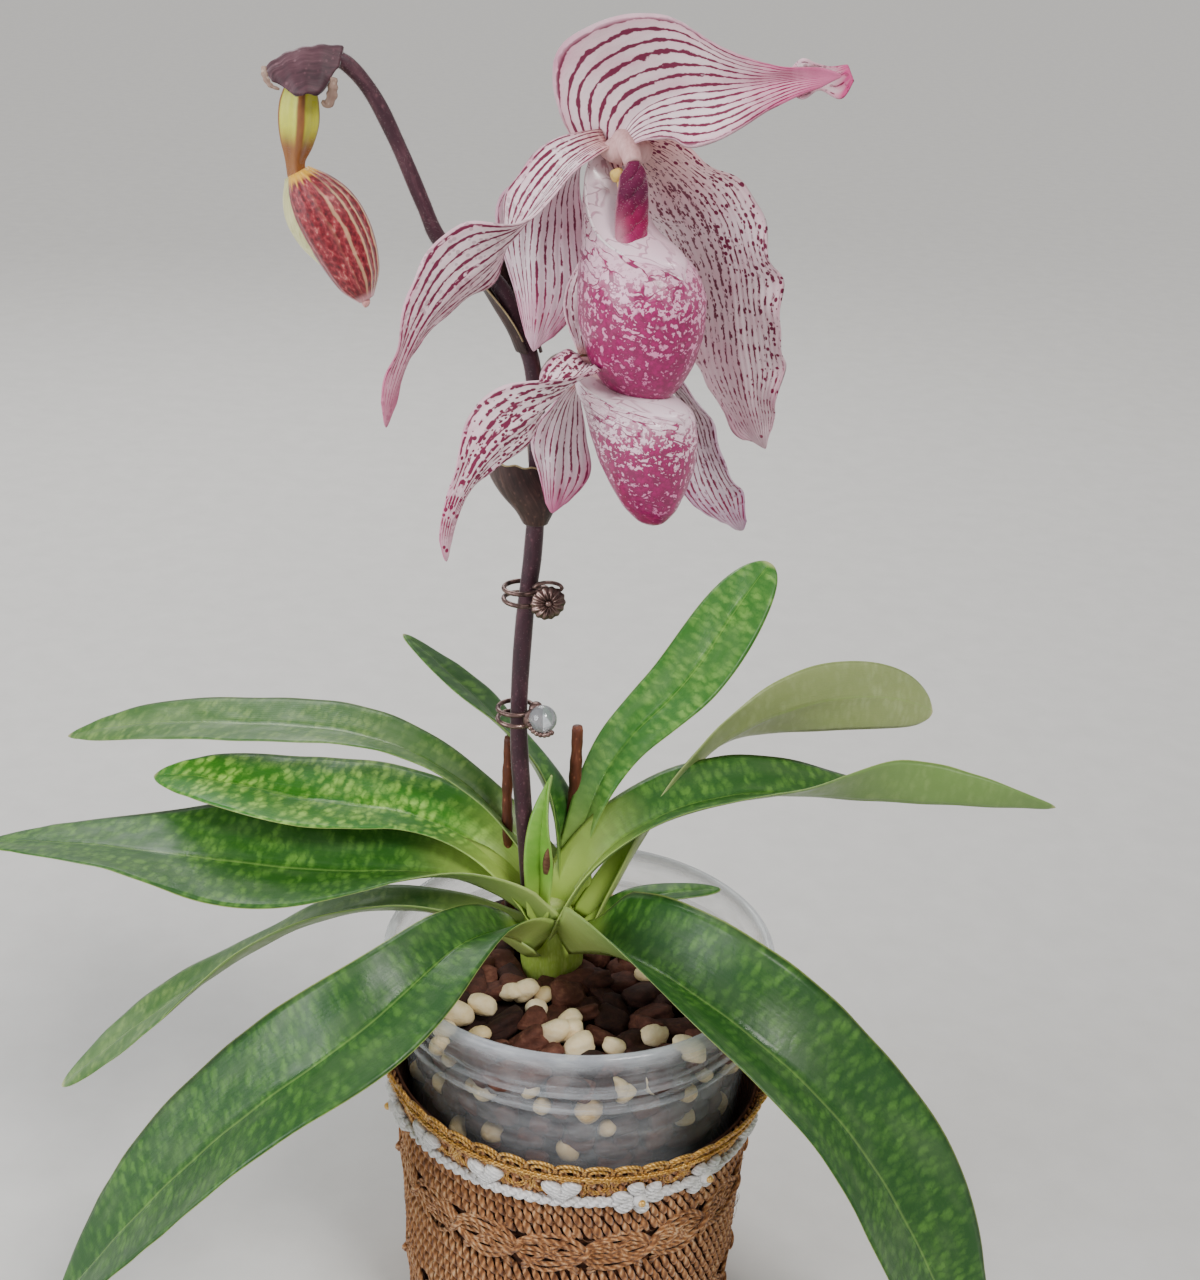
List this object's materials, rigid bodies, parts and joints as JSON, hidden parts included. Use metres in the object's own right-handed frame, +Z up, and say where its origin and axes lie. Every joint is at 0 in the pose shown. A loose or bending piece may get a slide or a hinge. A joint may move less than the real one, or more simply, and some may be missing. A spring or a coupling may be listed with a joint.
{
  "type": "potted slipper orchid",
  "caption": "Slipper orchid with mottled leaves, open blooms and a bud on one stem, in a clear nursery pot set in a knitted cover trimmed with lace",
  "frame": {"origin": "middle of the cover's flat underside, on the surface that the plant stands on", "axes": "+Z up; +X to the right and +Y away from the side that the picture shows"},
  "size_m": [0.2954, 0.1495, 0.3602],
  "materials": {
    "leaf_green": "satin leaf, mottled",
    "crown_green": "smooth plant tissue",
    "stem_purple": "downy plant tissue",
    "old_stem_brown": "dry plant tissue",
    "bract_brown": "thin plant tissue",
    "petal_white": "satin petal with dark veins",
    "pouch_pink": "waxy petal",
    "column_magenta": "downy plant tissue",
    "bud_red": "satin bud, ribbed",
    "ovary_green": "smooth plant tissue",
    "pot_clear": "clear moulded plastic",
    "bark_brown": "bark chips and pale stones",
    "cover_yarn": "knitted yarn",
    "lace_gold": "crocheted gold thread",
    "lace_white": "cotton lace",
    "clip_metal": "aged metal",
    "clip_gem": "clear bead"
  },
  "bodies": {
    "root": {"knitted_cover": "cover_yarn", "gold_lace": "lace_gold", "white_lace": "lace_white", "clear_pot": "pot_clear", "growing_medium": "bark_brown", "crown": "crown_green", "flower_stem": "stem_purple", "old_stem_left": "old_stem_brown", "old_stem_right": "old_stem_brown", "upper_clip_rings": "clip_metal", "upper_clip_ornament": "clip_gem", "lower_clip_rings": "clip_metal", "lower_clip_ornament": "clip_gem", "lower_bract": "bract_brown", "upper_bract": "bract_brown", "bud_bract": "bract_brown", "upper_ovary": "crown_green", "lower_ovary": "crown_green", "bud_ovary": "ovary_green", "bud": "bud_red", "upper_pouch": "pouch_pink", "lower_pouch": "pouch_pink", "upper_column": "column_magenta", "lower_column": "column_magenta", "upper_dorsal_sepal": "petal_white", "upper_left_petal": "petal_white", "upper_right_petal": "petal_white", "upper_synsepal": "petal_white", "lower_dorsal_sepal": "petal_white", "lower_left_petal": "petal_white", "lower_right_petal": "petal_white", "lower_synsepal": "petal_white", "leaf_centre": "leaf_green", "leaf_right_upright": "leaf_green", "leaf_back_left": "leaf_green", "leaf_right_long": "leaf_green", "leaf_right_back": "leaf_green", "leaf_far_left": "leaf_green", "leaf_left_upper": "leaf_green", "leaf_left_long": "leaf_green", "leaf_front_left": "leaf_green", "leaf_front_right": "leaf_green", "leaf_left_low": "leaf_green", "leaf_small_right": "leaf_green"}
  },
  "joints": []
}
